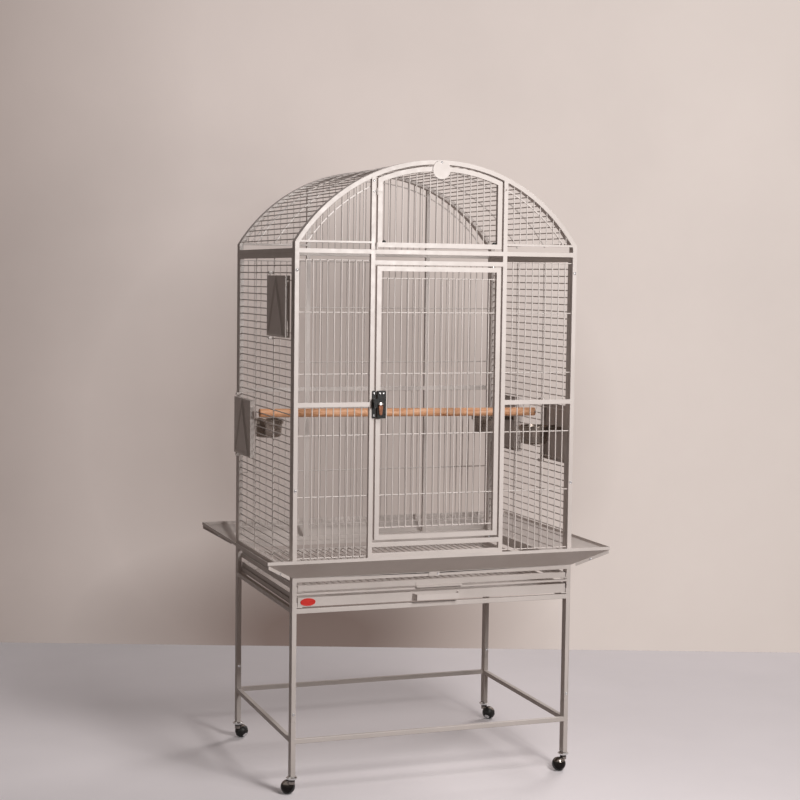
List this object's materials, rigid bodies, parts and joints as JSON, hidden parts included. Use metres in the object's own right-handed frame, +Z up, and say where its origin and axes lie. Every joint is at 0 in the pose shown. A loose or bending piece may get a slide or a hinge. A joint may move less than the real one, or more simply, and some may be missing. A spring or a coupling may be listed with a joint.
{
  "type": "dome top parrot cage",
  "caption": "Wheeled metal parrot cage with an arched roof, swing-out front and dome doors, side feeder doors with cups, seed skirts, a wooden perch, and a slide-out grate and tray.",
  "frame": {"origin": "on the floor under the middle of the cage", "axes": "+Z up, -Y out of the front door, +X to the right seen from the front"},
  "size_m": [0.984, 0.746, 1.7014],
  "materials": {
    "paint": "satin powder coat",
    "chrome": "polished",
    "stainless": "brushed",
    "black": "gloss black",
    "rubber": "matt",
    "wood": "sanded"
  },
  "bodies": {
    "cage": {"front_frame": "paint", "front_grille": "paint", "rear_frame": "paint", "rear_grille": "paint", "left_frame": "paint", "left_grille": "paint", "right_frame": "paint", "right_grille": "paint", "roof_frame": "paint", "roof_grille": "paint", "stand_frame": "paint", "base_frame": "paint", "skirt_front": "paint", "skirt_rear": "paint", "skirt_left": "paint", "skirt_right": "paint", "perch": "wood", "frame_bolts": "chrome", "door_pins": "chrome", "latch_keeper": "black", "small_screws": "chrome", "dome_hinge_leaves": "paint", "feeder_hinge_rods": "paint", "caster_stems": "chrome"},
    "front_door": {"front_door": "paint", "latch_case": "black", "case_screws": "chrome"},
    "latch_lever": {"latch_lever": "chrome"},
    "dome_door": {"dome_door": "paint", "lock_disc": "paint", "disc_screw": "chrome", "dome_bumpers": "rubber"},
    "feeder_left_front": {"feeder_door_left_front": "paint"},
    "feeder_left_rear": {"feeder_door_left_rear": "paint", "cup_ring_left_rear": "paint"},
    "feeder_right_front": {"feeder_door_right_front": "paint", "cup_ring_right_front": "paint"},
    "feeder_right_rear": {"feeder_door_right_rear": "paint", "cup_ring_right_rear": "paint"},
    "cup_left_rear": {"cup_left_rear": "stainless"},
    "cup_right_front": {"cup_right_front": "stainless"},
    "cup_right_rear": {"cup_right_rear": "stainless"},
    "grate": {"grate": "paint", "grate_pull": "paint"},
    "grate_catch": {"grate_catch": "paint"},
    "tray": {"tray": "paint", "tray_handle": "paint"},
    "caster_fl": {"caster_fork_fl": "chrome", "caster_axle_fl": "chrome"},
    "wheel_fl": {"caster_wheel_fl": "rubber"},
    "caster_fr": {"caster_fork_fr": "chrome", "caster_axle_fr": "chrome"},
    "wheel_fr": {"caster_wheel_fr": "rubber"},
    "caster_rl": {"caster_fork_rl": "chrome", "caster_axle_rl": "chrome"},
    "wheel_rl": {"caster_wheel_rl": "rubber"},
    "caster_rr": {"caster_fork_rr": "chrome", "caster_axle_rr": "chrome"},
    "wheel_rr": {"caster_wheel_rr": "rubber"}
  },
  "joints": [
    {"name": "front_door_swing", "type": "hinge", "parent": "cage", "child": "front_door", "pos_m": [0.158, -0.29865, 1.0472], "axis": [0, 0, 1], "range_deg": [0, 115]},
    {"name": "latch_lever_turn", "type": "hinge", "parent": "front_door", "child": "latch_lever", "pos_m": [-0.16855, -0.317, 1.0472], "axis": [0, -1, 0], "range_deg": [-90, 0]},
    {"name": "dome_door_swing", "type": "hinge", "parent": "cage", "child": "dome_door", "pos_m": [-0.181, -0.309, 1.54], "axis": [0, 0, -1], "range_deg": [0, 110]},
    {"name": "grate_catch_turn", "type": "hinge", "parent": "cage", "child": "grate_catch", "pos_m": [0.006, -0.306, 0.58265], "axis": [0, 1, 0], "range_deg": [-90, 0]},
    {"name": "grate_slide", "type": "slide", "parent": "cage", "child": "grate", "axis": [0, -1, 0], "range_m": [0, 0.45]},
    {"name": "tray_slide", "type": "slide", "parent": "cage", "child": "tray", "axis": [0, -1, 0], "range_m": [0, 0.45]},
    {"name": "feeder_left_front_swing", "type": "hinge", "parent": "cage", "child": "feeder_left_front", "pos_m": [-0.411, -0.0835, 1.3065], "axis": [0, 0, -1], "range_deg": [0, 110]},
    {"name": "feeder_left_rear_swing", "type": "hinge", "parent": "cage", "child": "feeder_left_rear", "pos_m": [-0.411, 0.2726, 0.9501], "axis": [0, 0, -1], "range_deg": [0, 110]},
    {"name": "cup_left_rear_lift", "type": "slide", "parent": "feeder_left_rear", "child": "cup_left_rear", "axis": [0, 0, 1], "range_m": [0, 0.06]},
    {"name": "feeder_right_front_swing", "type": "hinge", "parent": "cage", "child": "feeder_right_front", "pos_m": [0.411, -0.0835, 0.9501], "axis": [0, 0, 1], "range_deg": [0, 110]},
    {"name": "cup_right_front_lift", "type": "slide", "parent": "feeder_right_front", "child": "cup_right_front", "axis": [0, 0, 1], "range_m": [0, 0.06]},
    {"name": "feeder_right_rear_swing", "type": "hinge", "parent": "cage", "child": "feeder_right_rear", "pos_m": [0.411, 0.2726, 0.9501], "axis": [0, 0, 1], "range_deg": [0, 110]},
    {"name": "cup_right_rear_lift", "type": "slide", "parent": "feeder_right_rear", "child": "cup_right_rear", "axis": [0, 0, 1], "range_m": [0, 0.06]},
    {"name": "caster_fl_swivel", "type": "hinge", "parent": "cage", "child": "caster_fl", "pos_m": [-0.39965, -0.2923, 0.045], "axis": [0, 0, 1], "continuous": true},
    {"name": "wheel_fl_spin", "type": "hinge", "parent": "caster_fl", "child": "wheel_fl", "pos_m": [-0.40641, -0.2778, 0.02], "axis": [0.7424, 0.3462, -0.5736], "continuous": true},
    {"name": "caster_fr_swivel", "type": "hinge", "parent": "cage", "child": "caster_fr", "pos_m": [0.39965, -0.2923, 0.045], "axis": [0, 0, 1], "continuous": true},
    {"name": "wheel_fr_spin", "type": "hinge", "parent": "caster_fr", "child": "wheel_fr", "pos_m": [0.38461, -0.29777, 0.02], "axis": [-0.2802, 0.7698, -0.5736], "continuous": true},
    {"name": "caster_rl_swivel", "type": "hinge", "parent": "cage", "child": "caster_rl", "pos_m": [-0.39965, 0.2923, 0.045], "axis": [0, 0, 1], "continuous": true},
    {"name": "wheel_rl_spin", "type": "hinge", "parent": "caster_rl", "child": "wheel_rl", "pos_m": [-0.38608, 0.30078, 0.02], "axis": [0.4341, -0.6947, -0.5736], "continuous": true},
    {"name": "caster_rr_swivel", "type": "hinge", "parent": "cage", "child": "caster_rr", "pos_m": [0.39965, 0.2923, 0.045], "axis": [0, 0, 1], "continuous": true},
    {"name": "wheel_rr_spin", "type": "hinge", "parent": "caster_rr", "child": "wheel_rr", "pos_m": [0.41116, 0.28119, 0.02], "axis": [-0.569, -0.5892, -0.5736], "continuous": true}
  ]
}
